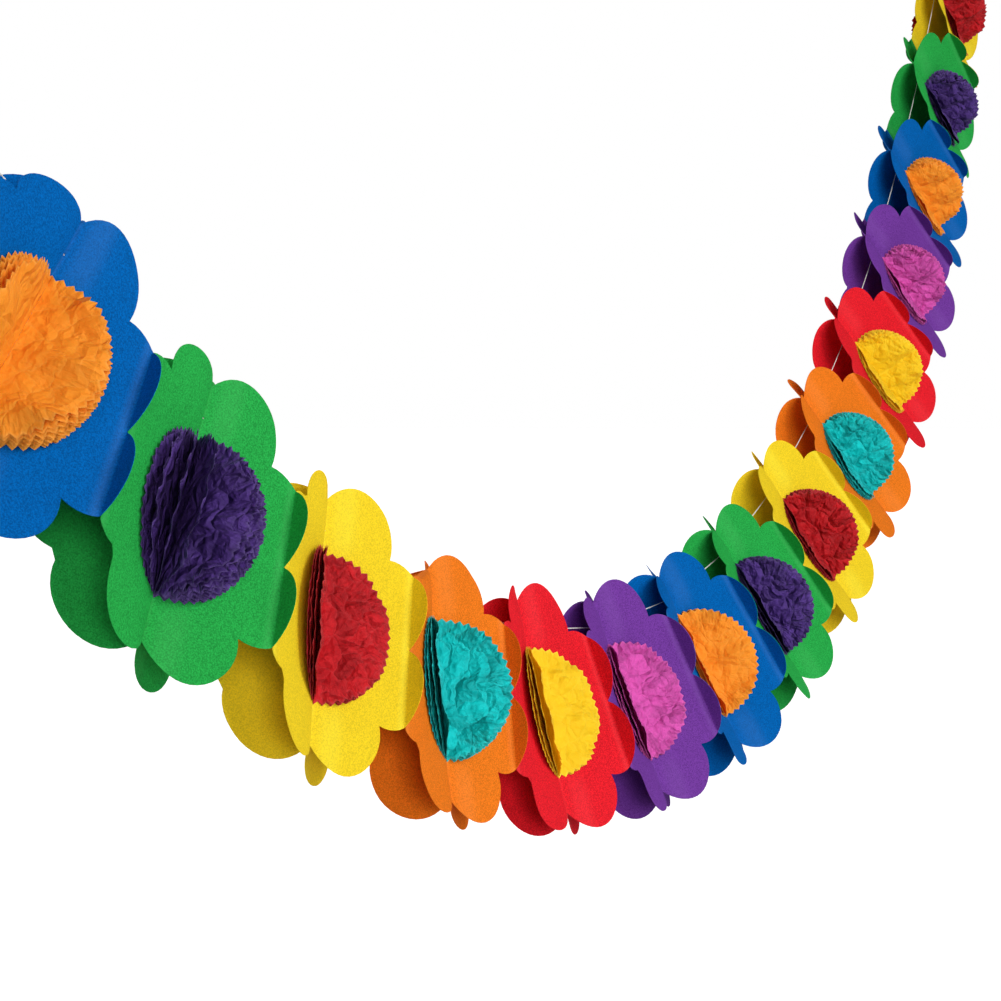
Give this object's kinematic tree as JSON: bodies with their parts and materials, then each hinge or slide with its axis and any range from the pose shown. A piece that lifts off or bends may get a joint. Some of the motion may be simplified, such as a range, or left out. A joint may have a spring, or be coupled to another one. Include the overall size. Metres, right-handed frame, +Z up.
{
  "type": "paper flower garland",
  "caption": "Hanging swag of folded eight-petal paper flowers in bright colours with pinked tissue honeycomb centres, joined at glued lobes and threaded on a string with end loops.",
  "frame": {"origin": "centre of the tied hanging loop at the near, lower end of the string", "axes": "+X along the span towards the far loop, +Z up as it hangs, fronts of the flowers towards -Y"},
  "size_m": [2.0103, 0.129, 0.9293],
  "materials": {
    "paper_blue": "matte grained coloured paper",
    "paper_green": "matte grained coloured paper",
    "paper_yellow": "matte grained coloured paper",
    "paper_orange": "matte grained coloured paper",
    "paper_red": "matte grained coloured paper",
    "paper_purple": "matte grained coloured paper",
    "tissue_orange": "crinkled tissue with pinked edges",
    "tissue_violet": "crinkled tissue with pinked edges",
    "tissue_crimson": "crinkled tissue with pinked edges",
    "tissue_teal": "crinkled tissue with pinked edges",
    "tissue_gold": "crinkled tissue with pinked edges",
    "tissue_magenta": "crinkled tissue with pinked edges",
    "thread_white": "twisted white thread"
  },
  "bodies": {
    "root": {"front_flower_01": "paper_blue", "back_flower_01": "paper_blue", "honeycomb_01": "tissue_orange", "front_flower_02": "paper_green", "back_flower_02": "paper_green", "honeycomb_02": "tissue_violet", "front_flower_03": "paper_yellow", "back_flower_03": "paper_yellow", "honeycomb_03": "tissue_crimson", "front_flower_04": "paper_orange", "back_flower_04": "paper_orange", "honeycomb_04": "tissue_teal", "front_flower_05": "paper_red", "back_flower_05": "paper_red", "honeycomb_05": "tissue_gold", "front_flower_06": "paper_purple", "back_flower_06": "paper_purple", "honeycomb_06": "tissue_magenta", "front_flower_07": "paper_blue", "back_flower_07": "paper_blue", "honeycomb_07": "tissue_orange", "front_flower_08": "paper_green", "back_flower_08": "paper_green", "honeycomb_08": "tissue_violet", "front_flower_09": "paper_yellow", "back_flower_09": "paper_yellow", "honeycomb_09": "tissue_crimson", "front_flower_10": "paper_orange", "back_flower_10": "paper_orange", "honeycomb_10": "tissue_teal", "front_flower_11": "paper_red", "back_flower_11": "paper_red", "honeycomb_11": "tissue_gold", "front_flower_12": "paper_purple", "back_flower_12": "paper_purple", "honeycomb_12": "tissue_magenta", "front_flower_13": "paper_blue", "back_flower_13": "paper_blue", "honeycomb_13": "tissue_orange", "front_flower_14": "paper_green", "back_flower_14": "paper_green", "honeycomb_14": "tissue_violet", "front_flower_15": "paper_yellow", "back_flower_15": "paper_yellow", "honeycomb_15": "tissue_crimson", "string": "thread_white"}
  },
  "joints": []
}
